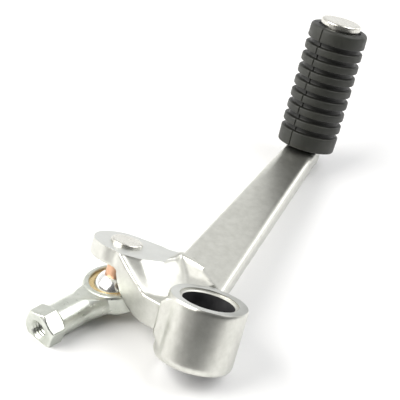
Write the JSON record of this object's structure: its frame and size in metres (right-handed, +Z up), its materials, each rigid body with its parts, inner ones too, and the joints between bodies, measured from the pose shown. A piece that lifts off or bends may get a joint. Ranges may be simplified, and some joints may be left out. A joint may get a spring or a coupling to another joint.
{
  "type": "gear shift lever",
  "caption": "Forged aluminium motorcycle gear shift lever: pivot boss, ribbed rubber toe peg, and a riveted ball rod end for the shift linkage.",
  "frame": {"origin": "on the pivot bore's axis, level with the lower face of the pivot boss", "axes": "+Z up along the pivot bore, +X from the pivot towards the toe peg, +Y to the side that the short linkage arm leaves on"},
  "size_m": [0.1284, 0.0618, 0.0967],
  "materials": {
    "forged_aluminium": "bead-blasted forging, satin",
    "bush_lining": "dark dry-bearing lining",
    "pin_steel": "bright zinc plated steel",
    "copper_collar": "copper plated collar",
    "ball_chrome": "polished",
    "race_brass": "bearing brass",
    "housing_zinc": "clear zinc plated forging",
    "peg_rubber": "moulded, matt"
  },
  "bodies": {
    "lever": {"lever_body": "forged_aluminium", "pivot_bush": "bush_lining", "peg_pin": "pin_steel", "peg_rubber": "peg_rubber", "joint_pin": "pin_steel", "joint_spacer": "copper_collar", "joint_washer": "pin_steel"},
    "ball": {"rod_end_ball": "ball_chrome"},
    "rod_end": {"rod_end_race": "race_brass", "rod_end_housing": "housing_zinc"}
  },
  "joints": [
    {"name": "ball_turn", "type": "hinge", "parent": "lever", "child": "ball", "pos_m": [0.0165, 0.03064, 0.0082], "axis": [0, 0, 1], "range_deg": [-150, 15]},
    {"name": "rod_end_tilt", "type": "hinge", "parent": "ball", "child": "rod_end", "pos_m": [0.0165, 0.03064, 0.0082], "axis": [0.515, 0.8572, 0], "range_deg": [0, 45]}
  ]
}
